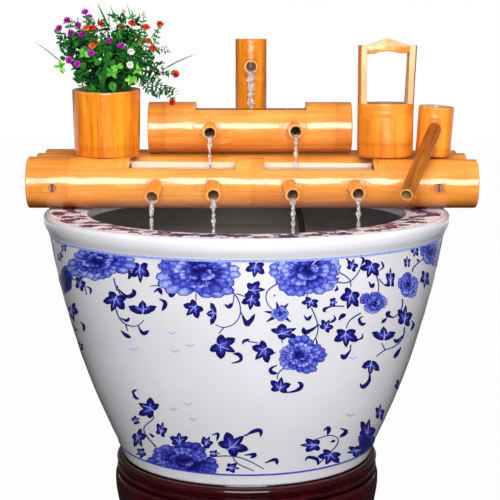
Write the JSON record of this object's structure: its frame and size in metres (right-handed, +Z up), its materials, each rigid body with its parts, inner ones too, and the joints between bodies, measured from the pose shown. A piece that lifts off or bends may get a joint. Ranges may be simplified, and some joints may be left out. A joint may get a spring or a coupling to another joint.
{
  "type": "bamboo water fountain",
  "caption": "Bamboo water fountain with spouts, trough, riser, bucket, cup and flower pot, laid across a porcelain bowl on a round wooden stand, with its pump.",
  "frame": {"origin": "on the floor, under the middle of the whole object", "axes": "+Z up, +X to the right along the bamboo culms, +Y away from the viewer; the spouts pour towards -Y"},
  "size_m": [0.605, 0.542, 0.7561],
  "materials": {
    "bamboo": "glossy lacquer, cut faces pale",
    "peg_wood": "matt",
    "porcelain": "glazed porcelain, white with cobalt flowers",
    "rosewood": "dark red gloss varnish",
    "pump_plastic": "matt",
    "rotor_plastic": "matt",
    "ceramic_pin": "polished ceramic",
    "rubber": "matt",
    "floral_foam": "matt foam",
    "plant": "moulded leaves and flowers"
  },
  "bodies": {
    "stand": {"stand_top_ring": "rosewood", "stand_apron": "rosewood", "stand_base_ring": "rosewood", "stand_leg_1": "rosewood", "stand_leg_2": "rosewood", "stand_leg_3": "rosewood", "stand_leg_4": "rosewood", "stand_leg_5": "rosewood", "stand_pad_1": "rosewood", "stand_pad_2": "rosewood", "stand_pad_3": "rosewood", "stand_pad_4": "rosewood", "stand_pad_5": "rosewood"},
    "bowl": {"bowl": "porcelain", "pump_housing": "pump_plastic", "pump_volute": "pump_plastic", "pump_shaft": "ceramic_pin", "cable_gland": "rubber", "sucker_1": "rubber", "sucker_2": "rubber", "sucker_3": "rubber", "sucker_4": "rubber"},
    "rack": {"front_tube": "bamboo", "middle_tube": "bamboo", "back_tube": "bamboo", "tie_dowel_left": "peg_wood", "tie_dowel_right": "peg_wood", "wedge_front_left": "peg_wood", "wedge_front_right": "peg_wood", "wedge_back_left": "peg_wood", "wedge_back_right": "peg_wood", "upper_trough": "bamboo", "trough_peg_1": "peg_wood", "trough_peg_2": "peg_wood", "trough_spout_1": "bamboo", "trough_spout_2": "bamboo", "front_spout_1": "bamboo", "front_spout_2": "bamboo", "front_spout_3": "bamboo", "front_spout_4": "bamboo", "riser": "bamboo", "top_spout": "bamboo", "flower_pot": "bamboo", "foam_block": "floral_foam", "water_cup": "bamboo", "long_pipe": "bamboo", "supply_hose": "rubber"},
    "bucket": {"bucket": "bamboo", "bucket_crossbar": "bamboo"},
    "plant": {"artificial_plant": "plant"},
    "strainer": {"pump_strainer": "pump_plastic"},
    "dial": {"flow_dial": "pump_plastic"},
    "rotor": {"pump_rotor": "rotor_plastic"}
  },
  "joints": [
    {"name": "bowl_lift", "type": "slide", "parent": "stand", "child": "bowl", "axis": [0, 0, 1], "range_m": [0, 0.2]},
    {"name": "rack_lift", "type": "slide", "parent": "bowl", "child": "rack", "axis": [0, 0, 1], "range_m": [0, 0.3]},
    {"name": "bucket_lift", "type": "slide", "parent": "rack", "child": "bucket", "axis": [0, 0, 1], "range_m": [0, 0.2]},
    {"name": "plant_lift", "type": "slide", "parent": "rack", "child": "plant", "axis": [0, 0, 1], "range_m": [0, 0.12]},
    {"name": "strainer_pull", "type": "slide", "parent": "bowl", "child": "strainer", "axis": [-1, 0, 0], "range_m": [0, 0.03]},
    {"name": "flow_dial_turn", "type": "hinge", "parent": "strainer", "child": "dial", "pos_m": [0.0194, 0.05, 0.1949], "axis": [-1, 0, 0], "range_deg": [-75, 75]},
    {"name": "rotor_spin", "type": "hinge", "parent": "bowl", "child": "rotor", "pos_m": [0.06, 0.05, 0.1949], "axis": [1, 0, 0], "continuous": true}
  ]
}
